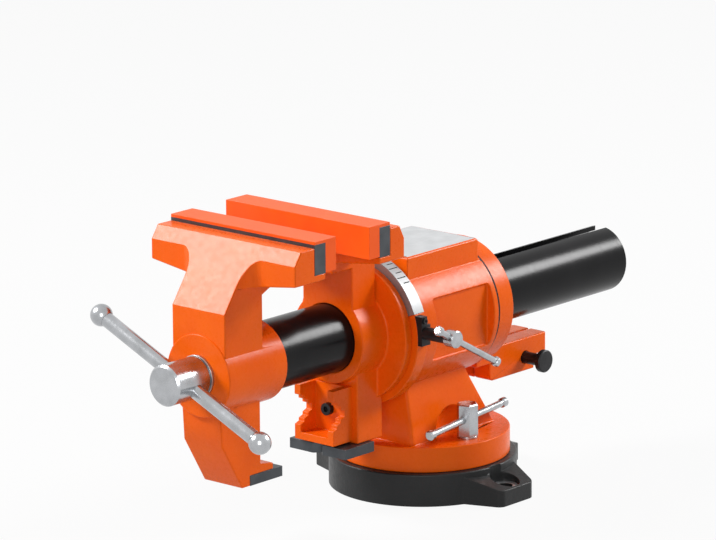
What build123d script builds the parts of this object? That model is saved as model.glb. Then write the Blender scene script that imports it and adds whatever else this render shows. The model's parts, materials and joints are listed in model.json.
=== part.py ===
"""A multi-jaw bench vise with a turning head on a swivel base.

Millimetres, +Z up. The origin is the centre of the base's underside, on the swivel axis. The
slide axis runs along X at axis_z: the moving jaw and the spindle are at -X, the tube's open end
is at +X. Pieces that move are drawn with the jaws a little open and every lock released.
"""

import os
from math import atan2, cos, degrees, hypot, radians, sin, sqrt

from build123d import *

os.makedirs("parts", exist_ok=True)

# ---------------------------------------------------------------- fits
run = 0.06  # radial clearance of a shaft that turns or slides
face_gap = 0.3  # between faces that move past each other
seat_gap = 0.1  # under a turning face that carries load
head_gap = 0.3  # round a sunk screw head and above it
cut_margin = 1.0  # how far a cutting shape runs past what it cuts
same_place = 0.01  # two points nearer than this are one

# ---------------------------------------------------------------- small edges and sockets
knob_edge = 1.0
turned_edge = 0.8
socket_width = 0.5  # a hexagon socket's corner radius over its head's radius
socket_depth = 0.6  # its depth over the head's height

# ---------------------------------------------------------------- base and swivel
base_radius = 76.7
base_height = 26.7
base_edge = 1.5
lug_angles = (-90, 0, 90)
lug_reach = 100.0
lug_root_radius = 66.0
lug_root_half = 33.0
lug_end_half = 20.0
lug_root_height = 23.5
lug_end_height = 13.5
lug_corner = 7.0
bench_hole_radius = 6.5
bench_hole_inset = 14.0  # from the lug's end
spot_face_radius = 12.0
spot_face_height = 12.0
clamp_radius = 53.2  # from the swivel axis to each clamping stud
stud_radius = 4.0
stud_hole_radius = 4.5
tee_head = 16.0  # the stud head's length along the radius
tee_head_width = 12.0
tee_head_height = 6.9
tee_neck_gap = 0.7
tee_slot_gap = 1.0
tee_floor = 9.0  # solid metal left under the T-slot
spigot_radius = 16.0
pivot_recess_depth = 11.0
pivot_recess_radius = 24.0
pivot_washer_radius = 21.0
pivot_washer_thick = 3.0
pivot_bolt_radius = 5.0
pivot_head_radius = 8.5
pivot_head_height = 5.5
pivot_bolt_reach = 30.0  # depth of the threaded bore
pivot_bolt_room = 2.0  # left above the bolt
pivot_socket_floor = 1.5
relief_inner = 28.0
relief_outer = 38.0
relief_roof = 6.0  # metal left above the underside relief

# ---------------------------------------------------------------- stand
axis_z = 143.2  # height of the slide axis
turntable_radius = 71.0
turntable_top = 47.5
pedestal_front_x = -56.6
pedestal_rear_x = 46.0  # at the turntable's top
pedestal_rear_lean = 0.555  # how far the rear face leans in per millimetre of height
pedestal_half = 38.0  # at the turntable's top
pedestal_side_lean = 0.16
pedestal_corner = 3.0
pedestal_sink = 4.0  # its foot in the turntable
pedestal_merge = 0.6  # its top, below the slide axis, over the barrel's radius
flange_front_x = -78.0
flange_thick = 12.0
flange_radius = 61.5
barrel_radius = 54.8
barrel_rear_x = 31.6
panel_floor_y = 46.9  # distance of the barrel's sunk panels from the axis
panel_front_x = -45.0
panel_rear_x = 25.5
panel_height = 50.8
panel_corner = 3.0
anvil_top_z = 203.5
anvil_half = 35.5
anvil_front_x = -60.0
anvil_rear_x = 28.0
anvil_corner = 2.5
scale_inner = 52.5
scale_start = 20.0  # degrees above the horizontal at either side
scale_mark_step = 5.0
scale_mark_width = 0.9
scale_mark_depth = 0.6
scale_marks = 9  # on either side of the top
scale_tall_inset = 1.0
scale_short_inset = 4.0
scale_end_inset = 1.0
hollow_radius = 26.0  # ball-shaped hollow beside each swivel nut
hollow_z = 53.0

# ---------------------------------------------------------------- swivel locks
lock_x = -6.5
swivel_washer_radius = 8.5
swivel_washer_thick = 2.0
nut_radius = 9.0  # across the hexagon's corners, halved
nut_top = 76.0
stud_top = 57.0
stud_room = 1.5  # left above the stud in its nut
lock_bar_z = 63.0
lock_bar_radius = 2.9
lock_bar_length = 108.0  # between the knobs
lock_bar_angle = 9.5  # from the X axis
lock_knob_radius = 4.0
lock_knob_length = 6.5
bar_grip = 3.0  # how deep a bar sits in its knob

# ---------------------------------------------------------------- head lock
head_lock_x = -73.0
head_lock_z = 149.5
head_lock_radius = 4.0
shank_radius = 5.2
lock_pad_length = 5.0
lock_block_out = 65.6  # outer face, measured from the slide axis plane
lock_block_low = 139.2
lock_block_high = 163.0
lock_block_width = 10.5
lock_tab_width = 6.5
lock_tab_z = 156.0
shank_end_y = -89.0
tee_knob_radius = 7.0
tee_knob_length = 9.5
head_bar_radius = 2.7
head_bar_front = 17.5  # to the upper knob, which must clear the rod plate as the head turns
head_bar_rear = 57.5  # from the screw's axis to the lower knob
head_bar_drop = 29.0  # degrees below the X axis towards the rear
head_knob_radius = 4.0
head_knob_length = 5.0
block_screw_radius = 1.3
block_screw_length = 10.0
block_screw_head = 2.4
block_screw_head_height = 1.6
block_screw_z = 159.5

# ---------------------------------------------------------------- turning head
sleeve_radius = 40.0
tube_radius = 27.85
disc_radius = 56.0
disc_thick = 7.7
boss_radius = 37.0
boss_length = 30.0
neck_half = 26.0
neck_depth = 28.0
arm_half = 25.7
arm_rear_x = -80.0
arm_depth = 30.0
collar_radius = 53.0
collar_length = 19.5
collar_gap = 1.9  # between the barrel's rear face and the collar
thrust_ring_thick = 1.5
thrust_ring_outer = 52.0
collar_screw_circle = 34.0
collar_screw_radius = 2.5
collar_screw_head = 4.5
collar_screw_sink = 5.0
collar_screw_length = 26.0
collar_screw_angles = (15, 55, 125, 165)
collar_edge = 1.5
tail_rear_x = 138.0
tail_front_x = 64.0
tail_half = 18.0
tail_top_z = 101.0
tail_neck_z = 88.0
tail_tongue_z = 84.5  # underside of the tongue behind the cross screw
tail_boss = 11.5  # metal round the cross screw's axis
tail_flat = 0.5  # left flat beside the rounding of that metal
tail_toe = 4.5
tail_edge = 3.0
tail_overlap = 6.0  # how far the neck reaches into the collar
slit = 2.0
tail_screw_x = 110.0
tail_screw_z = 84.5
tail_screw_radius = 5.0
tail_screw_inset = 4.0  # its far end inside the block
tail_screw_stand_off = 17.5
tail_knob_radius = 9.4
tail_knob_thick = 4.5

# ---------------------------------------------------------------- jaws
jaw_width = 150.0
jaw_top_z = 250.9
jaw_opening = 38.8  # between the soft pads as drawn
pad_thick = 12.2
pad_lip = 2.5
plate_thick = 12.4
pad_lift = 0.6  # the soft pad's bottom above the plate's
plate_height = 24.0
plate_proud = 2.6  # the jaw plate's top above the casting
wing_tip_drop = 31.7  # a wing's underside at its tip, below the jaws' top
wing_root_drop = 38.4
bevel_height = 10.5
fixed_overhang = 10.8  # plate's back in front of the fixed neck
fixed_strip = 11.8
fixed_beam_depth = 17.3
fixed_slope_drop = 47.9  # the foot of the fixed jaw's rear slope, below the jaws' top
fixed_slope_start = 12.0  # below the bevel
moving_strip = 15.3
moving_beam_depth = 22.7
moving_neck_depth = 50.7
moving_neck_rear = 7.4
moving_neck_half = 27.5
neck_fillet = 14.0
wing_fillet = 9.0
plate_screw_pitch = 90.0
plate_screw_radius = 4.0
plate_screw_head = 7.5
plate_screw_sink = 5.0
magnet_radius = 7.0
magnet_thick = 3.0
magnet_pitch = 50.0
plate_screw_length = 22.0

# ---------------------------------------------------------------- lower jaws
pipe_half = 20.5
pipe_wall = 6.3
pipe_floor = 6.0
pipe_back = 4.5
fixed_pipe_depth = 23.0
pipe_top_z = 106.0
pipe_bottom_z = 61.0
vee_middle_z = 85.3
vee_mouth_half = 12.3
vee_depth = 13.8
vee_steps = 3
vee_lean = 0.4  # how far a step's tread leans, over its rise
grip_half = 15.0
grip_depth = 12.0
grip_bottom_z = 68.5
grip_teeth = 6
grip_pitch = 5.0
grip_proud = 0.4  # the insert stands out of the leg
grip_tooth = 2.0  # depth of a tooth
pipe_screw_radius = 3.0
pipe_screw_head = 5.0
pipe_screw_sink = 5.0
pipe_screw_length = 17.0
rod_plate_thick = 8.2
rod_plate_top_z = 59.0
rod_plate_half = 29.5
rod_plate_length = 34.5  # its rear edge passes in front of the head lock's upper knob
rod_plate_overhang = 19.0
rod_notch = 5.0
rod_screw_radius = 3.0
rod_screw_head = 5.5
rod_screw_sink = 5.0
rod_screw_pitch = 24.0
rod_screw_length = 11.0
foot_plate_overhang = 10.4

# ---------------------------------------------------------------- moving jaw, tube and spindle
tube_wall = 4.0
tube_rear_x = 232.3
tube_slot_width = 11.0
travel_in = 38.2
slot_end_gap = 1.5  # between the key and the slot's end, jaws closed
key_width = 10.0
key_front_inset = 2.5  # from the collar's front face
key_length = 15.0
key_top = 36.5  # above the slide axis
key_foot = 17.0  # the key's underside above the slide axis
key_slot_drop = 6.0  # how far the key's slot reaches below the tube's bore
nut_length = 34.0
nut_slip = 0.35  # between the spindle nut and the tube
nut_overlap = 8.0  # the spindle nut's length in front of the key
jaw_boss_radius = 33.0
jaw_boss_proud = 1.0
jaw_boss_rear = 14.8  # behind the moving plate's back
web_thick = 21.5
leg_half = 20.1
leg_knee_z = 88.8
leg_taper = 3.3  # how far the leg's front leans in from the neck to the knee
toe_run = 22.7  # from the knee back to the foot's front edge
toe_lip = 9.0  # metal in front of the rod plate
foot_top_z = 66.0
foot_slope = 2.0
foot_step = 14.0
moving_pipe_gap = 84.6  # between the pipe jaws' lips as drawn
set_screw_radius = 4.0
set_screw_inset = 12.0
set_screw_pitch = 16.0
set_screw_gap = 0.05
set_screw_sink = 0.75
set_screw_socket = 2.5
spindle_radius = 11.0
spindle_reach = 440.0
spindle_neck_radius = 12.0
bush_wall = 3.0
thrust_washer_thick = 2.5
thrust_washer_radius = 17.0
spindle_head_radius = 16.3
spindle_head_length = 36.2
spindle_head_chamfer = 1.6
spindle_end_chamfer = 2.0
retaining_collar_length = 10.0
retaining_collar_radius = 19.0
retaining_pin_radius = 2.0
retaining_pin_sink = 0.5
handle_inset = 21.2  # from the spindle head's front face
handle_radius = 5.9
handle_length = 180.0  # between the knobs' centres
handle_angle = 24.0  # above the Y axis
handle_knob_radius = 8.9
handle_shift = 3.2  # the handle bar as drawn, towards its upper end

# ---------------------------------------------------------------- places that follow from the sizes
bench_hole_reach = lug_reach - bench_hole_inset
tee_neck_half = stud_radius + tee_neck_gap
tee_slot_half = tee_head / 2 + tee_slot_gap
tee_slot_top = tee_floor + face_gap + tee_head_height + face_gap
turntable_bottom = base_height + seat_gap
spigot_bottom = pivot_recess_depth - face_gap
lock_y = sqrt(clamp_radius**2 - lock_x**2)

flange_rear_x = flange_front_x + flange_thick
bore_radius = sleeve_radius + run
disc_rear_x = flange_front_x - face_gap
disc_front_x = disc_rear_x - disc_thick
fixed_front_x = disc_front_x - boss_length
fixed_neck_rear_x = fixed_front_x + neck_depth
fixed_seat_x = fixed_front_x - fixed_overhang
fixed_face_x = fixed_seat_x - plate_thick - pad_thick
tube_bore = tube_radius + run
thrust_ring_x = barrel_rear_x + (collar_gap - thrust_ring_thick) / 2
collar_x = barrel_rear_x + collar_gap
collar_rear_x = collar_x + collar_length
key_x = collar_x + key_front_inset
nut_x = key_x - nut_overlap
tube_inner = tube_radius - tube_wall
tube_slot_x = key_x - travel_in - slot_end_gap
arm_front_x = arm_rear_x - arm_depth

moving_face_x = fixed_face_x - jaw_opening
moving_seat_x = moving_face_x - pad_thick - plate_thick
moving_wing_x = moving_seat_x - moving_beam_depth
moving_front_x = moving_seat_x - moving_neck_depth
moving_rear_x = moving_seat_x - moving_neck_rear
moving_boss_x = moving_front_x - jaw_boss_proud
moving_boss_rear_x = moving_seat_x + jaw_boss_rear
web_rear_x = moving_boss_x + web_thick
spindle_head_rear_x = moving_boss_x - thrust_washer_thick - seat_gap
spindle_head_front_x = spindle_head_rear_x - spindle_head_length
handle_x = spindle_head_front_x + handle_inset
retaining_x = web_rear_x + face_gap
knee_x = moving_front_x + leg_taper
toe_x = knee_x + toe_run

plate_top_z = jaw_top_z - pad_lip
plate_bottom_z = plate_top_z - plate_height
strip_z = plate_top_z - plate_proud
beam_tip_z = jaw_top_z - wing_tip_drop
beam_root_z = jaw_top_z - wing_root_drop
fixed_slope_z = jaw_top_z - fixed_slope_drop
bevel_z = strip_z - bevel_height
plate_mid_z = plate_bottom_z + plate_height / 2
fixed_lip_x = arm_front_x - fixed_pipe_depth
moving_lip_x = fixed_lip_x - moving_pipe_gap
moving_pocket_x = moving_lip_x - grip_depth
fixed_rod_x = arm_front_x - rod_plate_overhang
fixed_rod_screw_x = (arm_front_x + fixed_rod_x + rod_plate_length) / 2
pipe_back_x = arm_front_x - pipe_back
foot_rear_x = moving_lip_x + foot_step
moving_rod_screw_x = (toe_x + toe_lip + foot_rear_x) / 2
set_screw_places = (
    moving_boss_rear_x - set_screw_inset,
    moving_boss_rear_x - set_screw_inset - set_screw_pitch,
)
rod_bottom_z = rod_plate_top_z - rod_plate_thick
tail_bottom_z = tail_screw_z - tail_boss
foot_plate_front_x = foot_rear_x + foot_plate_overhang
lock_tab_x = flange_front_x + lock_tab_width / 2
head_bar_y = shank_end_y - tee_knob_length / 2


def slide_plane(x):
    """A plane square to the slide axis at x, with its own origin on that axis."""
    return Plane(origin=(x, 0, axis_z), x_dir=(0, 1, 0), z_dir=(1, 0, 0))


def leaning_plane(x, y, z, plan_angle=0.0, drop_angle=0.0):
    """A plane square to a bar that runs plan_angle from X in plan, then drops by drop_angle."""
    run_x = cos(radians(plan_angle)) * cos(radians(drop_angle))
    run_y = sin(radians(plan_angle)) * cos(radians(drop_angle))
    return Plane(origin=(x, y, z), z_dir=(run_x, run_y, -sin(radians(drop_angle))))


def jaw_profile(seat_x, outward, strip, depth, below):
    """The side view of a jaw beam behind its plate: outward is -1 towards the front, 1 to the rear."""
    back_x = seat_x + outward * depth
    return [
        (seat_x - outward * plate_thick, beam_root_z - below),
        (seat_x - outward * plate_thick, plate_bottom_z),
        (seat_x, plate_bottom_z),
        (seat_x, strip_z),
        (seat_x + outward * strip, strip_z),
        (back_x, bevel_z),
        (back_x, beam_root_z - below),
    ]


def vee_outline():
    """The stepped V in the pipe jaw's walls: it opens at the jaw's lip and narrows to the rear."""
    rise = vee_mouth_half / vee_steps
    tread = vee_depth / vee_steps
    upper = []
    for step in range(vee_steps):
        tread_x = fixed_lip_x + tread * step
        upper.append((tread_x, vee_middle_z + vee_mouth_half - rise * step))
        upper.append((tread_x + tread, vee_middle_z + vee_mouth_half - rise * (step + vee_lean)))
    lower = [(x, 2 * vee_middle_z - z) for x, z in reversed(upper)]
    outside = [(fixed_lip_x - cut_margin, vee_middle_z + side * vee_mouth_half) for side in (1, -1)]
    return outside[:1] + upper + lower + outside[1:]


# ================================================================ base
with BuildPart() as lug:
    with BuildSketch(Plane.XZ):
        with BuildLine():
            Polyline(
                (lug_root_radius, 0),
                (lug_reach, 0),
                (lug_reach, lug_end_height),
                (lug_root_radius, lug_root_height),
                close=True,
            )
        make_face()
    extrude(amount=lug_root_half, both=True)
    with BuildSketch(Plane.XY):
        with BuildLine():
            Polyline(
                (lug_root_radius, lug_root_half),
                (lug_reach, lug_end_half),
                (lug_reach, -lug_end_half),
                (lug_root_radius, -lug_root_half),
                close=True,
            )
        make_face()
    extrude(amount=lug_root_height, mode=Mode.INTERSECT)
    fillet(lug.edges().filter_by(Axis.Z).group_by(Axis.X)[-1], radius=lug_corner)

with BuildPart() as swivel_base:
    Cylinder(base_radius, base_height, align=(Align.CENTER, Align.CENTER, Align.MIN))
    fillet(swivel_base.edges().group_by(Axis.Z)[-1], radius=base_edge)
    for angle in lug_angles:
        add(lug.part, rotation=(0, 0, angle))
    for angle in lug_angles:
        hole_x = bench_hole_reach * cos(radians(angle))
        hole_y = bench_hole_reach * sin(radians(angle))
        with BuildSketch(Plane.XY.offset(spot_face_height)):
            with Locations((hole_x, hole_y)):
                Circle(spot_face_radius)
        extrude(amount=lug_root_height, mode=Mode.SUBTRACT)
        with BuildSketch():
            with Locations((hole_x, hole_y)):
                Circle(bench_hole_radius)
        extrude(amount=spot_face_height, mode=Mode.SUBTRACT)
    with BuildSketch(Plane.XZ):
        with Locations((clamp_radius, (tee_slot_top + base_height) / 2)):
            Rectangle(2 * tee_neck_half, base_height - tee_slot_top + cut_margin)
        with Locations((clamp_radius, (tee_floor + tee_slot_top) / 2)):
            Rectangle(2 * tee_slot_half, tee_slot_top - tee_floor)
        with Locations(((relief_inner + relief_outer) / 2, (base_height - relief_roof) / 2)):
            Rectangle(relief_outer - relief_inner, base_height - relief_roof)
    revolve(axis=Axis.Z, mode=Mode.SUBTRACT)
    with BuildSketch(Plane.XY.offset(tee_floor)):
        with Locations((-clamp_radius, 0)):
            Rectangle(2 * tee_slot_half, tee_head_width + 2 * tee_slot_gap)
    extrude(amount=base_height, mode=Mode.SUBTRACT)
    with BuildSketch():
        Circle(spigot_radius + run)
    extrude(amount=base_height, mode=Mode.SUBTRACT)
    with BuildSketch():
        Circle(pivot_recess_radius)
    extrude(amount=pivot_recess_depth, mode=Mode.SUBTRACT)
swivel_base.part.label = "swivel_base"
export_step(swivel_base.part, "parts/swivel_base.step")

# ================================================================ stand
pedestal_low_z = turntable_top - pedestal_sink
pedestal_high_z = axis_z - barrel_radius * pedestal_merge


def pedestal_half_at(z):
    """Half the pedestal's width at height z."""
    return pedestal_half - (z - turntable_top) * pedestal_side_lean


def pedestal_rear_at(z):
    """The x of the pedestal's leaning rear face at height z."""
    return pedestal_rear_x - (z - turntable_top) * pedestal_rear_lean


with BuildPart() as stand:
    for z in (pedestal_low_z, pedestal_high_z):
        with BuildSketch(Plane.XY.offset(z)):
            with Locations(((pedestal_front_x + pedestal_rear_at(z)) / 2, 0)):
                RectangleRounded(
                    pedestal_rear_at(z) - pedestal_front_x, 2 * pedestal_half_at(z), pedestal_corner
                )
    loft()
    with Locations((lock_x, -lock_y, hollow_z), (lock_x, lock_y, hollow_z)):
        Sphere(hollow_radius, mode=Mode.SUBTRACT)
    with BuildSketch(Plane.XY.offset(turntable_bottom)):
        Circle(turntable_radius)
    extrude(amount=turntable_top - turntable_bottom)
    with BuildSketch(Plane.XY.offset(spigot_bottom)):
        Circle(spigot_radius)
    extrude(amount=turntable_top - spigot_bottom)
    with BuildSketch(slide_plane(flange_rear_x)):
        Circle(barrel_radius)
    extrude(amount=barrel_rear_x - flange_rear_x)
    for outward in (1, -1):
        with BuildSketch(Plane.XZ.offset(outward * panel_floor_y)):
            with Locations(((panel_front_x + panel_rear_x) / 2, axis_z)):
                RectangleRounded(panel_rear_x - panel_front_x, panel_height, panel_corner)
        extrude(amount=outward * barrel_radius, mode=Mode.SUBTRACT)
    with BuildSketch(slide_plane(flange_front_x)):
        Circle(flange_radius)
    extrude(amount=flange_thick)
    with BuildSketch(Plane.YZ.offset(anvil_front_x)):
        with Locations((0, (axis_z + anvil_top_z) / 2)):
            Rectangle(2 * anvil_half, anvil_top_z - axis_z)
    extrude(amount=anvil_rear_x - anvil_front_x)
    fillet(
        stand.faces().sort_by(Axis.Z)[-1].edges(),
        radius=anvil_corner,
    )
    with BuildSketch(slide_plane(flange_front_x)):
        Circle(bore_radius)
    extrude(amount=barrel_rear_x - flange_front_x, mode=Mode.SUBTRACT)
    with BuildSketch(slide_plane(flange_front_x)):
        with BuildLine():
            outer = CenterArc((0, 0), flange_radius + cut_margin, scale_start, 180 - 2 * scale_start)
            inner = CenterArc((0, 0), scale_inner, scale_start, 180 - 2 * scale_start)
            Line(outer @ 0, inner @ 0)
            Line(outer @ 1, inner @ 1)
        make_face()
    extrude(amount=flange_thick, mode=Mode.SUBTRACT)
    with BuildSketch(Plane.XY.offset(turntable_bottom)):
        with Locations((lock_x, -lock_y), (lock_x, lock_y)):
            Circle(stud_hole_radius)
    extrude(amount=turntable_top - turntable_bottom, mode=Mode.SUBTRACT)
    with BuildSketch(Plane.XY.offset(spigot_bottom)):
        Circle(pivot_bolt_radius)
    extrude(amount=pivot_bolt_reach, mode=Mode.SUBTRACT)
    with BuildSketch(Plane.XZ):
        with Locations((head_lock_x, head_lock_z)):
            Circle(head_lock_radius)
    extrude(amount=flange_radius, mode=Mode.SUBTRACT)
    with BuildSketch(Plane.XZ.offset(lock_block_out - block_screw_length)):
        with Locations((lock_tab_x, block_screw_z)):
            Circle(block_screw_radius)
    extrude(amount=block_screw_length, mode=Mode.SUBTRACT)
stand.part.label = "stand"
export_step(stand.part, "parts/stand.step")

with BuildPart() as pivot_washer:
    with Locations((0, 0, spigot_bottom - pivot_washer_thick)):
        Cylinder(pivot_washer_radius, pivot_washer_thick, align=(Align.CENTER, Align.CENTER, Align.MIN))
    Cylinder(pivot_bolt_radius + face_gap, base_height, mode=Mode.SUBTRACT)
pivot_washer.part.label = "pivot_washer"
export_step(pivot_washer.part, "parts/pivot_washer.step")

with BuildPart() as pivot_bolt:
    with BuildSketch(Plane.XY.offset(spigot_bottom - pivot_washer_thick)):
        Circle(pivot_head_radius)
    extrude(amount=-pivot_head_height)
    chamfer(pivot_bolt.edges().group_by(Axis.Z)[0], length=turned_edge)
    with BuildSketch(Plane.XY.offset(spigot_bottom - pivot_washer_thick)):
        Circle(pivot_bolt_radius)
    extrude(amount=pivot_washer_thick + pivot_bolt_reach - pivot_bolt_room)
    with BuildSketch(Plane.XY.offset(spigot_bottom - pivot_washer_thick - pivot_head_height)):
        RegularPolygon(pivot_bolt_radius, 6)
    extrude(amount=pivot_head_height - pivot_socket_floor, mode=Mode.SUBTRACT)
pivot_bolt.part.label = "pivot_bolt"
export_step(pivot_bolt.part, "parts/pivot_bolt.step")

with BuildPart() as swivel_studs:
    for side in (-1, 1):
        turn = degrees(atan2(side * lock_y, lock_x))
        with BuildSketch(Plane.XY.offset(tee_floor + face_gap)):
            with Locations((lock_x, side * lock_y)):
                Rectangle(tee_head, tee_head_width, rotation=turn)
        extrude(amount=tee_head_height)
        with BuildSketch(Plane.XY.offset(tee_floor + face_gap)):
            with Locations((lock_x, side * lock_y)):
                Circle(stud_radius)
        extrude(amount=stud_top - tee_floor - face_gap)
swivel_studs.part.label = "swivel_studs"
export_step(swivel_studs.part, "parts/swivel_studs.step")

with BuildPart() as swivel_washers:
    with BuildSketch(Plane.XY.offset(turntable_top)):
        for side in (-1, 1):
            with Locations((lock_x, side * lock_y)):
                Circle(swivel_washer_radius)
                Circle(stud_hole_radius, mode=Mode.SUBTRACT)
    extrude(amount=swivel_washer_thick)
swivel_washers.part.label = "swivel_washers"
export_step(swivel_washers.part, "parts/swivel_washers.step")

with BuildPart() as scale_ring:
    with BuildSketch(slide_plane(flange_front_x)):
        with BuildLine():
            outer = CenterArc((0, 0), flange_radius, scale_start, 180 - 2 * scale_start)
            inner = CenterArc((0, 0), scale_inner, scale_start, 180 - 2 * scale_start)
            Line(outer @ 0, inner @ 0)
            Line(outer @ 1, inner @ 1)
        make_face()
    extrude(amount=flange_thick)
    for count in range(-scale_marks, scale_marks + 1):
        inset = scale_short_inset if count % 2 else scale_tall_inset
        with BuildSketch(slide_plane(flange_front_x + inset)):
            with PolarLocations(flange_radius, 1, start_angle=90 + count * scale_mark_step):
                Rectangle(2 * scale_mark_depth, scale_mark_width)
        extrude(amount=flange_thick - inset - scale_end_inset, mode=Mode.SUBTRACT)
scale_ring.part.label = "scale_ring"
export_step(scale_ring.part, "parts/scale_ring.step")

with BuildPart() as lock_block:
    with BuildSketch(Plane.XZ):
        with Locations((flange_front_x + lock_block_width / 2, (lock_block_low + lock_tab_z) / 2)):
            Rectangle(lock_block_width, lock_tab_z - lock_block_low)
        with Locations((lock_tab_x, (lock_block_low + lock_block_high) / 2)):
            Rectangle(lock_tab_width, lock_block_high - lock_block_low)
    extrude(amount=lock_block_out)
    with BuildSketch(slide_plane(flange_front_x)):
        Circle(flange_radius)
    extrude(amount=flange_thick, mode=Mode.SUBTRACT)
    with BuildSketch(Plane.XZ):
        with Locations((head_lock_x, head_lock_z)):
            Circle(head_lock_radius + run)
        with Locations((lock_tab_x, block_screw_z)):
            Circle(block_screw_radius)
    extrude(amount=lock_block_out, mode=Mode.SUBTRACT)
lock_block.part.label = "lock_block"
export_step(lock_block.part, "parts/lock_block.step")

with BuildPart() as block_screw:
    with BuildSketch(Plane.XZ.offset(lock_block_out)):
        with Locations((lock_tab_x, block_screw_z)):
            Circle(block_screw_head)
    extrude(amount=block_screw_head_height)
    with BuildSketch(Plane.XZ.offset(lock_block_out)):
        with Locations((lock_tab_x, block_screw_z)):
            Circle(block_screw_radius)
    extrude(amount=-block_screw_length)
    with BuildSketch(Plane.XZ.offset(lock_block_out + block_screw_head_height)):
        with Locations((lock_tab_x, block_screw_z)):
            RegularPolygon(block_screw_head * socket_width, 6)
    extrude(amount=-block_screw_head_height * socket_depth, mode=Mode.SUBTRACT)
block_screw.part.label = "block_screw"
export_step(block_screw.part, "parts/block_screw.step")


# ================================================================ swivel locks
def swivel_nut(side):
    """The tall hexagon nut on one swivel stud, cross-drilled for its bar."""
    with BuildPart() as nut:
        with BuildSketch(Plane.XY.offset(turntable_top + swivel_washer_thick + seat_gap)):
            with Locations((lock_x, side * lock_y)):
                RegularPolygon(nut_radius, 6, rotation=side * lock_bar_angle)
        extrude(amount=nut_top - turntable_top - swivel_washer_thick - seat_gap)
        chamfer(nut.edges().group_by(Axis.Z)[-1], length=knob_edge)
        with BuildSketch(Plane.XY.offset(turntable_top)):
            with Locations((lock_x, side * lock_y)):
                Circle(stud_radius + run)
        extrude(amount=stud_top + stud_room - turntable_top, mode=Mode.SUBTRACT)
        with BuildSketch(leaning_plane(lock_x, side * lock_y, lock_bar_z, -side * lock_bar_angle)):
            Circle(lock_bar_radius + run)
        extrude(amount=2 * nut_radius, both=True, mode=Mode.SUBTRACT)
    return nut.part


def sliding_bar(centre, radius, length):
    """A round bar of the given length, centred on the plane and square to it."""
    with BuildPart() as bar:
        with BuildSketch(centre.offset(-length / 2 - bar_grip)):
            Circle(radius)
        extrude(amount=length + 2 * bar_grip)
    return bar.part


def bar_knobs(centre, bar_radius, length, radius, thick):
    """A round knob on either end of a sliding bar."""
    with BuildPart() as knobs:
        for end in (-1, 1):
            with BuildSketch(centre.offset(end * length / 2)):
                Circle(radius)
            extrude(amount=end * thick)
        chamfer(knobs.edges().filter_by(GeomType.CIRCLE), length=knob_edge)
        with BuildSketch(centre.offset(-length / 2 - bar_grip)):
            Circle(bar_radius)
        extrude(amount=length + 2 * bar_grip, mode=Mode.SUBTRACT)
    return knobs.part


for name, side in (("near", -1), ("far", 1)):
    bar_centre = leaning_plane(lock_x, side * lock_y, lock_bar_z, -side * lock_bar_angle)
    nut_part = swivel_nut(side)
    nut_part.label = name + "_swivel_nut"
    export_step(nut_part, "parts/" + name + "_swivel_nut.step")
    bar_part = sliding_bar(bar_centre, lock_bar_radius, lock_bar_length)
    bar_part.label = name + "_swivel_bar"
    export_step(bar_part, "parts/" + name + "_swivel_bar.step")
    knobs_part = bar_knobs(
        bar_centre, lock_bar_radius, lock_bar_length, lock_knob_radius, lock_knob_length
    )
    knobs_part.label = name + "_swivel_bar_knobs"
    export_step(knobs_part, "parts/" + name + "_swivel_bar_knobs.step")

# ================================================================ head lock
pad_inner_y = -(sleeve_radius + face_gap)

with BuildPart() as lock_pad:
    with BuildSketch(Plane.XZ.offset(-pad_inner_y)):
        with Locations((head_lock_x, head_lock_z)):
            Circle(head_lock_radius - run)
    extrude(amount=lock_pad_length)
lock_pad.part.label = "lock_pad"
export_step(lock_pad.part, "parts/lock_pad.step")

with BuildPart() as lock_screw:
    with BuildSketch(Plane.XZ.offset(-pad_inner_y + lock_pad_length + face_gap)):
        with Locations((head_lock_x, head_lock_z)):
            Circle(head_lock_radius)
    extrude(amount=lock_block_out + pad_inner_y - lock_pad_length)
    with BuildSketch(Plane.XZ.offset(lock_block_out + face_gap)):
        with Locations((head_lock_x, head_lock_z)):
            Circle(shank_radius)
    extrude(amount=-shank_end_y - lock_block_out - face_gap)
    with BuildSketch(Plane.XZ.offset(-shank_end_y)):
        with Locations((head_lock_x, head_lock_z)):
            Circle(tee_knob_radius)
    extrude(amount=tee_knob_length)
    chamfer(lock_screw.edges().group_by(Axis.Y)[0], length=knob_edge)
    with BuildSketch(
        leaning_plane(head_lock_x, head_bar_y, head_lock_z, drop_angle=head_bar_drop)
    ):
        Circle(head_bar_radius + run)
    extrude(amount=2 * tee_knob_radius, both=True, mode=Mode.SUBTRACT)
lock_screw.part.label = "lock_screw"
export_step(lock_screw.part, "parts/lock_screw.step")


# ================================================================ pieces both jaws have
def shape_polygon(plane, points, fillet_at, radius):
    """A closed sketch through the points, rounded at the ones listed in fillet_at."""
    with BuildSketch(plane) as shape:
        with BuildLine():
            Polyline(*points, close=True)
        make_face()
        corners = [
            vertex
            for vertex in shape.vertices()
            if any(
                hypot(
                    plane.to_local_coords(Vector(vertex)).X - x,
                    plane.to_local_coords(Vector(vertex)).Y - y,
                )
                < same_place
                for x, y in fillet_at
            )
        ]
        fillet(corners, radius=radius)
    return shape.sketch


def wing_section(x, depth, neck):
    """The front view of a jaw: its full width above, its neck below, joined by fillets."""
    top_z = strip_z + cut_margin
    points = [
        (-jaw_width / 2, top_z),
        (-jaw_width / 2, beam_tip_z),
        (-neck, beam_root_z),
        (-neck, axis_z),
        (neck, axis_z),
        (neck, beam_root_z),
        (jaw_width / 2, beam_tip_z),
        (jaw_width / 2, top_z),
    ]
    inner_corners = [(-neck, beam_root_z), (neck, beam_root_z)]
    section = shape_polygon(Plane.YZ.offset(x), points, inner_corners, wing_fillet)
    with BuildPart(mode=Mode.PRIVATE) as body:
        extrude(section, amount=depth)
    return body.part


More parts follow.
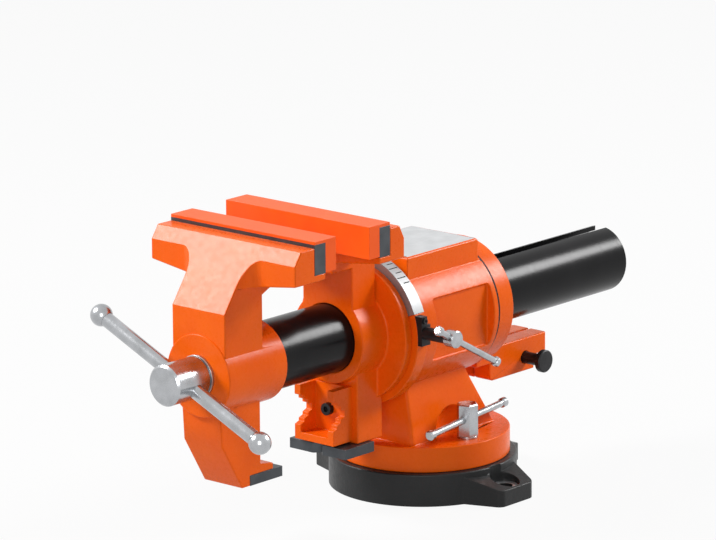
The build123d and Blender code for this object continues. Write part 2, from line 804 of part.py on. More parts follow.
def jaw_plate(seat_x, outward):
    """The steel plate of a jaw; outward points from the opening to the jaw's back."""
    plate_front_x = seat_x - outward * plate_thick
    with BuildPart() as plate:
        with BuildSketch(Plane.YZ.offset(min(seat_x, plate_front_x))):
            with Locations((0, plate_mid_z)):
                Rectangle(jaw_width, plate_height)
        extrude(amount=plate_thick)
        for side in (-1, 1):
            with BuildSketch(Plane.YZ.offset(min(seat_x, plate_front_x))):
                with Locations((side * plate_screw_pitch / 2, plate_mid_z)):
                    Circle(plate_screw_radius)
            extrude(amount=plate_thick, mode=Mode.SUBTRACT)
            with BuildSketch(Plane.YZ.offset(plate_front_x)):
                with Locations((side * plate_screw_pitch / 2, plate_mid_z)):
                    Circle(plate_screw_head + head_gap)
            extrude(amount=outward * plate_screw_sink, mode=Mode.SUBTRACT)
    return plate.part


def cap_screws(face_x, outward, places, shank, head, sink, length):
    """Hexagon socket screws driven along X: face_x is the face that their heads are flush with."""
    with BuildPart() as screws:
        for y, z in places:
            with BuildSketch(Plane.YZ.offset(face_x + outward * head_gap)):
                with Locations((y, z)):
                    Circle(head)
            extrude(amount=outward * (sink - head_gap))
            with BuildSketch(Plane.YZ.offset(face_x + outward * sink)):
                with Locations((y, z)):
                    Circle(shank)
            extrude(amount=outward * length)
            with BuildSketch(Plane.YZ.offset(face_x + outward * head_gap)):
                with Locations((y, z)):
                    RegularPolygon(head * socket_width, 6)
            extrude(amount=outward * (sink - head_gap) * socket_depth, mode=Mode.SUBTRACT)
    return screws.part


def screw_bores(face_x, outward, places, shank, length):
    """The threaded bores that cap_screws of the same places run into."""
    with BuildPart(mode=Mode.PRIVATE) as bores:
        for y, z in places:
            with BuildSketch(Plane.YZ.offset(face_x)):
                with Locations((y, z)):
                    Circle(shank)
            extrude(amount=outward * length)
    return bores.part


def soft_pad(seat_x, outward):
    """The L-shaped soft pad that covers a jaw plate's front and hooks over its top."""
    front_x = seat_x - outward * (plate_thick + pad_thick)
    inner_x = seat_x - outward * plate_thick
    with BuildPart() as pad:
        with BuildSketch(Plane.XZ):
            with BuildLine():
                Polyline(
                    (front_x, plate_bottom_z + pad_lift),
                    (inner_x, plate_bottom_z + pad_lift),
                    (inner_x, plate_top_z),
                    (seat_x, plate_top_z),
                    (seat_x, jaw_top_z),
                    (front_x, jaw_top_z),
                    close=True,
                )
            make_face()
        extrude(amount=jaw_width / 2, both=True)
        for y in (-magnet_pitch / 2, 0, magnet_pitch / 2):
            with BuildSketch(Plane.YZ.offset(inner_x)):
                with Locations((y, plate_mid_z)):
                    Circle(magnet_radius)
            extrude(amount=-outward * magnet_thick, mode=Mode.SUBTRACT)
    return pad.part


def pad_magnets(seat_x, outward):
    """The disc magnets let into a soft pad's back."""
    with BuildPart() as magnets:
        for y in (-magnet_pitch / 2, 0, magnet_pitch / 2):
            with BuildSketch(Plane.YZ.offset(seat_x - outward * plate_thick)):
                with Locations((y, plate_mid_z)):
                    Circle(magnet_radius)
            extrude(amount=-outward * magnet_thick)
    return magnets.part


def pipe_jaw():
    """The lower jaw of the turning head: two toothed walls on a floor and a back, for round stock."""
    middle_x = (fixed_lip_x + arm_front_x) / 2
    with BuildPart() as insert:
        with BuildSketch(Plane.XZ):
            with Locations((middle_x, (pipe_top_z + pipe_bottom_z) / 2)):
                Rectangle(fixed_pipe_depth, pipe_top_z - pipe_bottom_z)
            with BuildLine():
                Polyline(*vee_outline(), close=True)
            make_face(mode=Mode.SUBTRACT)
        extrude(amount=pipe_half, both=True)
        with BuildSketch(Plane.XY.offset(pipe_bottom_z + pipe_floor)):
            with Locations((middle_x - pipe_back, 0)):
                Rectangle(fixed_pipe_depth, 2 * (pipe_half - pipe_wall))
        extrude(amount=pipe_top_z - pipe_bottom_z, mode=Mode.SUBTRACT)
        with BuildSketch(Plane.YZ.offset(pipe_back_x)):
            with Locations((0, vee_middle_z)):
                Circle(pipe_screw_radius)
        extrude(amount=pipe_back, mode=Mode.SUBTRACT)
    return insert.part


def grip_insert():
    """The toothed steel insert let into the rear face of the moving jaw's leg."""
    bore_x = moving_lip_x - grip_tooth - pipe_screw_sink
    with BuildPart() as insert:
        with BuildSketch(Plane.XZ):
            with Locations((moving_lip_x - grip_depth / 2, (pipe_top_z + grip_bottom_z) / 2)):
                Rectangle(grip_depth, pipe_top_z - grip_bottom_z)
            for count in range(grip_teeth):
                tooth_z = (pipe_top_z + grip_bottom_z) / 2 + (count - (grip_teeth - 1) / 2) * grip_pitch
                with BuildLine():
                    Polyline(
                        (moving_lip_x + grip_tooth, tooth_z + 2 * grip_tooth),
                        (moving_lip_x - grip_tooth, tooth_z),
                        (moving_lip_x + grip_tooth, tooth_z - 2 * grip_tooth),
                        close=True,
                    )
                make_face(mode=Mode.SUBTRACT)
        extrude(amount=grip_half, both=True)
        with BuildSketch(Plane.YZ.offset(moving_lip_x)):
            with Locations((0, vee_middle_z)):
                Circle(pipe_screw_head + head_gap)
        extrude(amount=bore_x - moving_lip_x, mode=Mode.SUBTRACT)
        with BuildSketch(Plane.YZ.offset(moving_lip_x)):
            with Locations((0, vee_middle_z)):
                Circle(pipe_screw_radius)
        extrude(amount=-grip_depth, mode=Mode.SUBTRACT)
    return insert.part


def rod_plate(tip_x, length, outward, screw_x, half):
    """The steel plate under an arm; its tip has a notch for thin rod, outward points to its back."""
    with BuildPart() as plate:
        with BuildSketch(Plane.XY.offset(rod_bottom_z)):
            with Locations((tip_x + outward * length / 2, 0)):
                Rectangle(length, 2 * half)
            with BuildLine():
                Polyline(
                    (tip_x - outward * cut_margin, rod_notch + cut_margin),
                    (tip_x + outward * rod_notch, 0),
                    (tip_x - outward * cut_margin, -rod_notch - cut_margin),
                    close=True,
                )
            make_face(mode=Mode.SUBTRACT)
        extrude(amount=rod_plate_thick)
        for side in (-1, 1):
            with BuildSketch(Plane.XY.offset(rod_bottom_z)):
                with Locations((screw_x, side * rod_screw_pitch / 2)):
                    Circle(rod_screw_radius)
            extrude(amount=rod_plate_thick, mode=Mode.SUBTRACT)
            with BuildSketch(Plane.XY.offset(rod_bottom_z)):
                with Locations((screw_x, side * rod_screw_pitch / 2)):
                    Circle(rod_screw_head + head_gap)
            extrude(amount=rod_screw_sink, mode=Mode.SUBTRACT)
    return plate.part


def rod_screws(screw_x):
    """The two socket screws that hold a rod plate up against its arm."""
    with BuildPart() as screws:
        for side in (-1, 1):
            place = (screw_x, side * rod_screw_pitch / 2)
            with BuildSketch(Plane.XY.offset(rod_bottom_z + head_gap)):
                with Locations(place):
                    Circle(rod_screw_head)
            extrude(amount=rod_screw_sink - head_gap)
            with BuildSketch(Plane.XY.offset(rod_bottom_z + rod_screw_sink)):
                with Locations(place):
                    Circle(rod_screw_radius)
            extrude(amount=rod_screw_length)
            with BuildSketch(Plane.XY.offset(rod_bottom_z + head_gap)):
                with Locations(place):
                    RegularPolygon(rod_screw_head * socket_width, 6)
            extrude(amount=(rod_screw_sink - head_gap) * socket_depth, mode=Mode.SUBTRACT)
    return screws.part


def rod_bores(screw_x):
    """The threaded bores for rod_screws in an arm."""
    with BuildPart(mode=Mode.PRIVATE) as bores:
        with BuildSketch(Plane.XY.offset(rod_plate_top_z)):
            for side in (-1, 1):
                with Locations((screw_x, side * rod_screw_pitch / 2)):
                    Circle(rod_screw_radius)
        extrude(amount=rod_screw_length + rod_screw_sink - rod_plate_thick)
    return bores.part


plate_places = [(-plate_screw_pitch / 2, plate_mid_z), (plate_screw_pitch / 2, plate_mid_z)]
pipe_places = [(0, vee_middle_z)]
plate_bore_length = plate_screw_length + plate_screw_sink - plate_thick

# ================================================================ turning head
with BuildPart() as fixed_jaw:
    with BuildSketch(Plane.XZ):
        with BuildLine():
            Polyline(*jaw_profile(fixed_seat_x, 1, fixed_strip, fixed_beam_depth, wing_fillet), close=True)
        make_face()
    extrude(amount=jaw_width / 2, both=True)
    with BuildSketch(Plane.XZ):
        with BuildLine():
            Polyline(
                (fixed_front_x, axis_z),
                (fixed_front_x, bevel_z),
                (fixed_seat_x + fixed_beam_depth, bevel_z - fixed_slope_start),
                (fixed_neck_rear_x, fixed_slope_z),
                (fixed_neck_rear_x, axis_z),
                close=True,
            )
        make_face()
    extrude(amount=neck_half, both=True)
    add(
        wing_section(fixed_seat_x - plate_thick, plate_thick + fixed_overhang + neck_depth, neck_half),
        mode=Mode.INTERSECT,
    )
    with BuildSketch(Plane.XZ):
        with Locations(((arm_rear_x + arm_front_x) / 2, (axis_z + rod_plate_top_z) / 2)):
            Rectangle(arm_depth, axis_z - rod_plate_top_z)
    extrude(amount=arm_half, both=True)
    with BuildSketch(slide_plane(fixed_front_x)):
        Circle(boss_radius)
    extrude(amount=boss_length)
    with BuildSketch(slide_plane(disc_front_x)):
        Circle(disc_radius)
    extrude(amount=disc_thick)
    with BuildSketch(slide_plane(disc_front_x)):
        Circle(sleeve_radius)
    extrude(amount=collar_x - disc_front_x)
    with BuildSketch(slide_plane(fixed_front_x)):
        Circle(tube_bore)
    extrude(amount=collar_x - fixed_front_x, mode=Mode.SUBTRACT)
    add(
        screw_bores(fixed_seat_x, 1, plate_places, plate_screw_radius, plate_bore_length),
        mode=Mode.SUBTRACT,
    )
    with BuildSketch(Plane.XZ):
        with Locations((arm_front_x - fixed_pipe_depth / 2, (pipe_top_z + pipe_bottom_z) / 2)):
            Rectangle(fixed_pipe_depth, pipe_top_z - pipe_bottom_z)
    extrude(amount=pipe_half, both=True, mode=Mode.SUBTRACT)
    add(
        screw_bores(arm_front_x, 1, pipe_places, pipe_screw_radius, pipe_screw_length - pipe_back),
        mode=Mode.SUBTRACT,
    )
    add(rod_bores(fixed_rod_screw_x), mode=Mode.SUBTRACT)
    with BuildSketch(slide_plane(collar_x)):
        for angle in collar_screw_angles:
            with PolarLocations(collar_screw_circle, 1, start_angle=angle):
                Circle(collar_screw_radius)
    extrude(amount=-collar_screw_length, mode=Mode.SUBTRACT)
fixed_jaw.part.label = "fixed_jaw"
export_step(fixed_jaw.part, "parts/fixed_jaw.step")

with BuildPart() as rear_collar:
    with BuildSketch(slide_plane(collar_x)):
        Circle(collar_radius)
    extrude(amount=collar_length)
    chamfer(rear_collar.edges().group_by(Axis.X)[-1], length=collar_edge)
    extrude(
        shape_polygon(
            Plane.XZ,
            [
                (collar_rear_x - tail_overlap, tail_top_z),
                (tail_rear_x, tail_top_z),
                (tail_rear_x, tail_tongue_z),
                (tail_screw_x + tail_boss, tail_tongue_z),
                (tail_screw_x + tail_boss, tail_bottom_z),
                (tail_front_x, tail_bottom_z),
                (tail_front_x, tail_neck_z),
                (collar_rear_x - tail_overlap, tail_neck_z),
            ],
            [(tail_screw_x + tail_boss, tail_bottom_z)],
            tail_boss - tail_flat,
        ),
        amount=tail_half,
        both=True,
    )
    fillet(
        rear_collar.edges().filter_by(Axis.Y).group_by(Axis.Z)[0].sort_by(Axis.X)[0],
        radius=tail_toe,
    )
    fillet(
        rear_collar.edges().filter_by(Axis.Z).group_by(Axis.X)[-1],
        radius=tail_edge,
    )
    with BuildSketch(slide_plane(collar_x)):
        Circle(tube_bore)
    extrude(amount=collar_length, mode=Mode.SUBTRACT)
    with BuildSketch(Plane.XZ):
        with Locations((key_x + key_length / 2, axis_z + (tube_bore - key_slot_drop + key_top) / 2)):
            Rectangle(key_length, key_top - tube_bore + key_slot_drop)
    extrude(amount=key_width / 2, both=True, mode=Mode.SUBTRACT)
    with BuildSketch(Plane.XZ):
        with Locations(((collar_x + tail_rear_x) / 2, (axis_z + tail_bottom_z) / 2 - slit)):
            Rectangle(tail_rear_x - collar_x + 2 * slit, axis_z - tail_bottom_z + 2 * slit)
    extrude(amount=slit / 2, both=True, mode=Mode.SUBTRACT)
    with BuildSketch(slide_plane(collar_x)):
        for angle in collar_screw_angles:
            with PolarLocations(collar_screw_circle, 1, start_angle=angle):
                Circle(collar_screw_radius)
    extrude(amount=collar_length, mode=Mode.SUBTRACT)
    with BuildSketch(slide_plane(collar_rear_x)):
        for angle in collar_screw_angles:
            with PolarLocations(collar_screw_circle, 1, start_angle=angle):
                Circle(collar_screw_head + head_gap)
    extrude(amount=-collar_screw_sink, mode=Mode.SUBTRACT)
    with BuildSketch(Plane.XZ):
        with Locations((tail_screw_x, tail_screw_z)):
            Circle(tail_screw_radius + run)
    extrude(amount=tail_half, both=True, mode=Mode.SUBTRACT)
rear_collar.part.label = "rear_collar"
export_step(rear_collar.part, "parts/rear_collar.step")

with BuildPart() as collar_screws:
    for angle in collar_screw_angles:
        with BuildSketch(slide_plane(collar_rear_x - head_gap)):
            with PolarLocations(collar_screw_circle, 1, start_angle=angle):
                Circle(collar_screw_head)
        extrude(amount=head_gap - collar_screw_sink)
        with BuildSketch(slide_plane(collar_rear_x - collar_screw_sink)):
            with PolarLocations(collar_screw_circle, 1, start_angle=angle):
                Circle(collar_screw_radius)
        extrude(amount=-collar_screw_length)
        with BuildSketch(slide_plane(collar_rear_x - head_gap)):
            with PolarLocations(collar_screw_circle, 1, start_angle=angle):
                RegularPolygon(collar_screw_head * socket_width, 6)
        extrude(amount=(head_gap - collar_screw_sink) * socket_depth, mode=Mode.SUBTRACT)
collar_screws.part.label = "collar_screws"
export_step(collar_screws.part, "parts/collar_screws.step")

with BuildPart() as thrust_ring:
    with BuildSketch(slide_plane(thrust_ring_x)):
        Circle(thrust_ring_outer)
        Circle(sleeve_radius + 2 * run, mode=Mode.SUBTRACT)
    extrude(amount=thrust_ring_thick)
thrust_ring.part.label = "thrust_ring"
export_step(thrust_ring.part, "parts/thrust_ring.step")

with BuildPart() as spindle_nut:
    with BuildSketch(slide_plane(nut_x)):
        Circle(tube_inner - nut_slip)
        Circle(spindle_radius + run, mode=Mode.SUBTRACT)
    extrude(amount=nut_length)
    with BuildSketch(Plane.XZ):
        with Locations((key_x + key_length / 2, axis_z + key_foot + key_top / 2)):
            Rectangle(key_length, key_top)
    extrude(amount=key_width / 2, both=True, mode=Mode.SUBTRACT)
spindle_nut.part.label = "spindle_nut"
export_step(spindle_nut.part, "parts/spindle_nut.step")

with BuildPart() as nut_key:
    with BuildSketch(Plane.XZ):
        with Locations((key_x + key_length / 2, axis_z + (key_foot + key_top) / 2)):
            Rectangle(key_length, key_top - key_foot)
    extrude(amount=key_width / 2, both=True)
nut_key.part.label = "nut_key"
export_step(nut_key.part, "parts/nut_key.step")

with BuildPart() as tail_screw:
    with BuildSketch(Plane.XZ.offset(-tail_half + tail_screw_inset)):
        with Locations((tail_screw_x, tail_screw_z)):
            Circle(tail_screw_radius)
    extrude(amount=2 * tail_half - tail_screw_inset + tail_screw_stand_off)
    with BuildSketch(Plane.XZ.offset(tail_half + tail_screw_stand_off)):
        with Locations((tail_screw_x, tail_screw_z)):
            Circle(tail_knob_radius)
    extrude(amount=tail_knob_thick)
    chamfer(tail_screw.edges().group_by(Axis.Y)[0], length=turned_edge)
tail_screw.part.label = "tail_screw"
export_step(tail_screw.part, "parts/tail_screw.step")

fixed_pieces = {
    "fixed_jaw_plate": jaw_plate(fixed_seat_x, 1),
    "fixed_plate_screws": cap_screws(
        fixed_seat_x - plate_thick,
        1,
        plate_places,
        plate_screw_radius,
        plate_screw_head,
        plate_screw_sink,
        plate_screw_length,
    ),
    "fixed_soft_pad": soft_pad(fixed_seat_x, 1),
    "fixed_pad_magnets": pad_magnets(fixed_seat_x, 1),
    "fixed_pipe_jaw": pipe_jaw(),
    "fixed_pipe_screw": cap_screws(
        pipe_back_x - pipe_screw_sink,
        1,
        pipe_places,
        pipe_screw_radius,
        pipe_screw_head,
        pipe_screw_sink,
        pipe_screw_length,
    ),
    "fixed_rod_plate": rod_plate(
        fixed_rod_x,
        rod_plate_length,
        1,
        fixed_rod_screw_x,
        rod_plate_half,
    ),
    "fixed_rod_screws": rod_screws(fixed_rod_screw_x),
}
for name, piece in fixed_pieces.items():
    piece.label = name
    export_step(piece, "parts/" + name + ".step")

# ================================================================ moving jaw
moving_slope = bevel_height / (moving_beam_depth - moving_strip)
neck_crease_z = strip_z - (moving_neck_depth - moving_strip) * moving_slope

with BuildPart() as moving_jaw:
    extrude(
        shape_polygon(
            Plane.XY.offset(axis_z),
            [
                (moving_seat_x + plate_thick, -jaw_width / 2),
                (moving_seat_x + plate_thick, jaw_width / 2),
                (moving_wing_x, jaw_width / 2),
                (moving_wing_x, moving_neck_half),
                (moving_front_x, moving_neck_half),
                (moving_front_x, -moving_neck_half),
                (moving_wing_x, -moving_neck_half),
                (moving_wing_x, -jaw_width / 2),
            ],
            [(moving_wing_x, moving_neck_half), (moving_wing_x, -moving_neck_half)],
            neck_fillet,
        ),
        amount=strip_z + cut_margin - axis_z,
    )
    with BuildSketch(Plane.XZ):
        with BuildLine():
            Polyline(
                (moving_seat_x + plate_thick, plate_bottom_z),
                (moving_seat_x, plate_bottom_z),
                (moving_seat_x, strip_z),
                (moving_seat_x - moving_strip, strip_z),
                (moving_front_x, neck_crease_z),
                (moving_front_x, axis_z),
                (moving_rear_x, axis_z),
                (moving_rear_x, beam_root_z - wing_fillet),
                (moving_seat_x + plate_thick, beam_root_z),
                close=True,
            )
        make_face()
    extrude(amount=jaw_width / 2, both=True, mode=Mode.INTERSECT)
    add(
        wing_section(moving_front_x, moving_neck_depth + plate_thick, moving_neck_half),
        mode=Mode.INTERSECT,
    )
    with BuildSketch(Plane.XZ):
        with BuildLine():
            Polyline(
                (moving_front_x, axis_z),
                (knee_x, leg_knee_z),
                (toe_x, rod_bottom_z),
                (toe_x + toe_lip, rod_bottom_z),
                (toe_x + toe_lip, rod_plate_top_z),
                (foot_rear_x, rod_plate_top_z),
                (foot_rear_x, foot_top_z - foot_slope),
                (moving_lip_x - grip_proud, foot_top_z),
                (moving_lip_x - grip_proud, axis_z),
                close=True,
            )
        make_face()
    extrude(amount=leg_half, both=True)
    with BuildSketch(slide_plane(moving_boss_x)):
        Circle(jaw_boss_radius)
    extrude(amount=moving_boss_rear_x - moving_boss_x)
    with BuildSketch(slide_plane(moving_boss_x)):
        Circle(spindle_neck_radius + bush_wall)
    extrude(amount=moving_boss_rear_x - moving_boss_x, mode=Mode.SUBTRACT)
    with BuildSketch(slide_plane(web_rear_x)):
        Circle(tube_radius)
    extrude(amount=moving_boss_rear_x - web_rear_x, mode=Mode.SUBTRACT)
    with BuildSketch(Plane.XZ):
        with Locations((moving_lip_x - grip_depth / 2, (pipe_top_z + grip_bottom_z) / 2)):
            Rectangle(grip_depth, pipe_top_z - grip_bottom_z)
    extrude(amount=grip_half, both=True, mode=Mode.SUBTRACT)
    add(
        screw_bores(moving_seat_x, -1, plate_places, plate_screw_radius, plate_bore_length),
        mode=Mode.SUBTRACT,
    )
    add(
        screw_bores(moving_pocket_x, -1, pipe_places, pipe_screw_radius, pipe_screw_length / 2),
        mode=Mode.SUBTRACT,
    )
    add(rod_bores(moving_rod_screw_x), mode=Mode.SUBTRACT)
    with BuildSketch(Plane.XZ.offset(-jaw_boss_radius)):
        for x in set_screw_places:
            with Locations((x, axis_z)):
                Circle(set_screw_radius)
    extrude(amount=jaw_boss_radius - tube_radius + cut_margin, mode=Mode.SUBTRACT)
moving_jaw.part.label = "moving_jaw"
export_step(moving_jaw.part, "parts/moving_jaw.step")

with BuildPart() as slide_tube:
    with BuildSketch(slide_plane(web_rear_x)):
        Circle(tube_radius)
        Circle(tube_inner, mode=Mode.SUBTRACT)
    extrude(amount=tube_rear_x - web_rear_x)
    with BuildSketch(Plane.XY.offset(axis_z)):
        with Locations(((tube_slot_x + tube_rear_x) / 2 + tube_slot_width / 4, 0)):
            Rectangle(tube_rear_x - tube_slot_x + tube_slot_width / 2, tube_slot_width)
    extrude(amount=tube_radius + cut_margin, mode=Mode.SUBTRACT)
slide_tube.part.label = "slide_tube"
export_step(slide_tube.part, "parts/slide_tube.step")

with BuildPart() as tube_set_screws:
    for x in set_screw_places:
        with BuildSketch(Plane.XZ.offset(-tube_radius - set_screw_gap)):
            with Locations((x, axis_z)):
                Circle(set_screw_radius)
        extrude(amount=-(jaw_boss_radius - set_screw_sink - tube_radius - set_screw_gap))
        with BuildSketch(Plane.XZ.offset(-jaw_boss_radius + set_screw_sink)):
            with Locations((x, axis_z)):
                RegularPolygon(set_screw_radius * socket_width, 6)
        extrude(amount=set_screw_socket, mode=Mode.SUBTRACT)
tube_set_screws.part.label = "tube_set_screws"
export_step(tube_set_screws.part, "parts/tube_set_screws.step")

with BuildPart() as spindle_bush:
    with BuildSketch(slide_plane(moving_boss_x)):
        Circle(spindle_neck_radius + bush_wall)
        Circle(spindle_neck_radius + run, mode=Mode.SUBTRACT)
    extrude(amount=web_thick)
spindle_bush.part.label = "spindle_bush"
export_step(spindle_bush.part, "parts/spindle_bush.step")

with BuildPart() as thrust_washer:
    with BuildSketch(slide_plane(moving_boss_x - thrust_washer_thick)):
        Circle(thrust_washer_radius)
        Circle(spindle_neck_radius + run, mode=Mode.SUBTRACT)
    extrude(amount=thrust_washer_thick)
thrust_washer.part.label = "thrust_washer"
export_step(thrust_washer.part, "parts/thrust_washer.step")

moving_pieces = {
    "moving_jaw_plate": jaw_plate(moving_seat_x, -1),
    "moving_plate_screws": cap_screws(
        moving_seat_x + plate_thick,
        -1,
        plate_places,
        plate_screw_radius,
        plate_screw_head,
        plate_screw_sink,
        plate_screw_length,
    ),
    "moving_soft_pad": soft_pad(moving_seat_x, -1),
    "moving_pad_magnets": pad_magnets(moving_seat_x, -1),
    "moving_pipe_jaw": grip_insert(),
    "moving_pipe_screw": cap_screws(
        moving_lip_x - grip_tooth,
        -1,
        pipe_places,
        pipe_screw_radius,
        pipe_screw_head,
        pipe_screw_sink,
        grip_depth - grip_tooth - pipe_screw_sink + pipe_screw_length / 2,
    ),
    "moving_rod_plate": rod_plate(
        foot_plate_front_x,
        foot_plate_front_x - toe_x - toe_lip,
        -1,
        moving_rod_screw_x,
        leg_half,
    ),
    "moving_rod_screws": rod_screws(moving_rod_screw_x),
}
for name, piece in moving_pieces.items():
    piece.label = name
    export_step(piece, "parts/" + name + ".step")

# ================================================================ spindle and handle
pin_x = retaining_x + retaining_collar_length / 2
handle_run = (0, cos(radians(handle_angle)), sin(radians(handle_angle)))

with BuildPart() as spindle:
    with BuildSketch(slide_plane(spindle_head_front_x)):
        Circle(spindle_head_radius)
    extrude(amount=spindle_head_length)
    chamfer(spindle.edges().filter_by(GeomType.CIRCLE), length=spindle_head_chamfer)
    with BuildSketch(slide_plane(spindle_head_rear_x)):
        Circle(spindle_neck_radius)
    extrude(amount=retaining_x + retaining_collar_length - spindle_head_rear_x)
    with BuildSketch(slide_plane(spindle_head_rear_x)):
        Circle(spindle_radius)
    extrude(amount=spindle_reach)
    chamfer(spindle.edges().group_by(Axis.X)[-1], length=spindle_end_chamfer)
    with BuildSketch(Plane(origin=(handle_x, 0, axis_z), z_dir=handle_run)):
        Circle(handle_radius + run)
    extrude(amount=2 * spindle_head_radius, both=True, mode=Mode.SUBTRACT)
    with BuildSketch(Plane.XZ):
        with Locations((pin_x, axis_z)):
            Circle(retaining_pin_radius)
    extrude(amount=retaining_collar_radius, both=True, mode=Mode.SUBTRACT)
spindle.part.label = "spindle"
export_step(spindle.part, "parts/spindle.step")

with BuildPart() as retaining_collar:
    with BuildSketch(slide_plane(retaining_x)):
        Circle(retaining_collar_radius)
        Circle(spindle_neck_radius, mode=Mode.SUBTRACT)
    extrude(amount=retaining_collar_length)
    with BuildSketch(Plane.XZ):
        with Locations((pin_x, axis_z)):
            Circle(retaining_pin_radius)
    extrude(amount=retaining_collar_radius, both=True, mode=Mode.SUBTRACT)
retaining_collar.part.label = "retaining_collar"
export_step(retaining_collar.part, "parts/retaining_collar.step")

with BuildPart() as retaining_pin:
    with BuildSketch(Plane.XZ):
        with Locations((pin_x, axis_z)):
            Circle(retaining_pin_radius)
    extrude(amount=retaining_collar_radius - retaining_pin_sink, both=True)
retaining_pin.part.label = "retaining_pin"
export_step(retaining_pin.part, "parts/retaining_pin.step")

handle_centre = Plane(
    origin=(handle_x, handle_shift * handle_run[1], axis_z + handle_shift * handle_run[2]),
    z_dir=handle_run,
)

handle_bar = sliding_bar(handle_centre, handle_radius, handle_length)
handle_bar.label = "handle_bar"
export_step(handle_bar, "parts/handle_bar.step")

with BuildPart() as handle_knobs:
    for end in (-1, 1):
        with Locations(handle_centre.offset(end * handle_length / 2)):
            Sphere(handle_knob_radius)
    with BuildSketch(handle_centre.offset(-handle_length / 2 - bar_grip)):
        Circle(handle_radius)
    extrude(amount=handle_length + 2 * bar_grip, mode=Mode.SUBTRACT)
handle_knobs.part.label = "handle_knobs"
export_step(handle_knobs.part, "parts/handle_knobs.step")

head_bar_middle = (head_bar_rear - head_bar_front) / 2
head_bar_centre = leaning_plane(
    head_lock_x + head_bar_middle * cos(radians(head_bar_drop)),
    head_bar_y,
    head_lock_z - head_bar_middle * sin(radians(head_bar_drop)),
    drop_angle=head_bar_drop,
)
head_lock_bar = sliding_bar(head_bar_centre, head_bar_radius, head_bar_front + head_bar_rear)
head_lock_bar.label = "head_lock_bar"
export_step(head_lock_bar, "parts/head_lock_bar.step")
head_lock_knobs = bar_knobs(
    head_bar_centre, head_bar_radius, head_bar_front + head_bar_rear, head_knob_radius, head_knob_length
)
head_lock_knobs.label = "head_lock_knobs"
export_step(head_lock_knobs, "parts/head_lock_knobs.step")
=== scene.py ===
# %% [markdown]
# # A multi-jaw bench vise
# The vise is a set of iron castings that turn and slide on each other. Its exact solids come in
# first as a fixed frame, one object for each piece. This lesson gives each piece the softened edges,
# the enamel and the machined finishes of the real tool, and then lights it. Everything is in metres,
# with the slide axis along X and the bench at zero height.

import json
from math import hypot, radians

import bmesh
import bpy
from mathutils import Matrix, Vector


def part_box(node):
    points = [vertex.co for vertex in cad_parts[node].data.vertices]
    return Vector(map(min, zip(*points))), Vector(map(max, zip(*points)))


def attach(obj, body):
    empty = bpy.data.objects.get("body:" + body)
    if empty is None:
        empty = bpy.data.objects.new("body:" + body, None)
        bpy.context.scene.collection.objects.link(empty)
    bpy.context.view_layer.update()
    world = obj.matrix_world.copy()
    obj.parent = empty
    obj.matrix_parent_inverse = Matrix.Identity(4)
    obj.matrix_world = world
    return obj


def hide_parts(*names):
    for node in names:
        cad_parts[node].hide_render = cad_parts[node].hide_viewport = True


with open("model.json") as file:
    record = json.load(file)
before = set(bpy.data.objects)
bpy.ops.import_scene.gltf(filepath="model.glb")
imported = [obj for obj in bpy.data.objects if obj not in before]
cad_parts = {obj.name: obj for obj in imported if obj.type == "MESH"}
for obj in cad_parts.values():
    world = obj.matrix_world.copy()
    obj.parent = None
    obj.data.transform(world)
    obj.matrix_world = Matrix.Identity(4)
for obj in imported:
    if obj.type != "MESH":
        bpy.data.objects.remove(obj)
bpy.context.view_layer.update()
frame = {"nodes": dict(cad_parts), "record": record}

# %% [markdown]
# ## The camera
# A long lens from nearly four metres away keeps the castings' parallel edges nearly parallel. The
# camera stands in front of the moving jaw, to one side of it, and looks slightly down.

# %% Set the camera
camera_data = bpy.data.cameras.new("bench_camera")
camera_data.sensor_fit = "HORIZONTAL"
camera_data.sensor_width = 36.0
camera_data.lens = 244.97
camera_data.clip_start = 0.1
camera_data.clip_end = 30.0
camera = bpy.data.objects.new("bench_camera", camera_data)
camera.location = (-2.91124, -2.47026, 1.11732)
camera.rotation_euler = (radians(76.1621), radians(0.3318), radians(-48.9882))
bpy.context.scene.collection.objects.link(camera)
bpy.context.scene.camera = camera
bpy.context.scene.view_settings.view_transform = "Standard"
print("lens", camera_data.lens, "mm")

# %% [markdown]
# ## The floor
# The tool stands on a white sweep. A ray from the camera, or one mirrored by metal, mostly sees plain
# white there, and the rest is a matt white that keeps the tool's soft shadow. A diffuse ray sees only
# the matt white, so the backdrop puts no extra light on the tool.

# %% Lay the floor
BACKDROP_SHARE = 0.93  # how much of the floor is plain white to the camera
FLOOR_SIZE = 30.0
FLOOR_GREY = (0.50, 0.50, 0.50, 1)  # the matt part, which takes the shadow
PLAIN_WHITE = (1, 1, 1, 1)


def light_path_mask(nodes, links):
    """One where a ray comes from the camera, from a glossy surface or through glass."""
    path = nodes.new("ShaderNodeLightPath")
    either = nodes.new("ShaderNodeMath")
    either.operation = "MAXIMUM"
    links.new(path.outputs["Is Camera Ray"], either.inputs[0])
    links.new(path.outputs["Is Glossy Ray"], either.inputs[1])
    all_three = nodes.new("ShaderNodeMath")
    all_three.operation = "MAXIMUM"
    links.new(either.outputs[0], all_three.inputs[0])
    links.new(path.outputs["Is Transmission Ray"], all_three.inputs[1])
    return all_three.outputs[0]


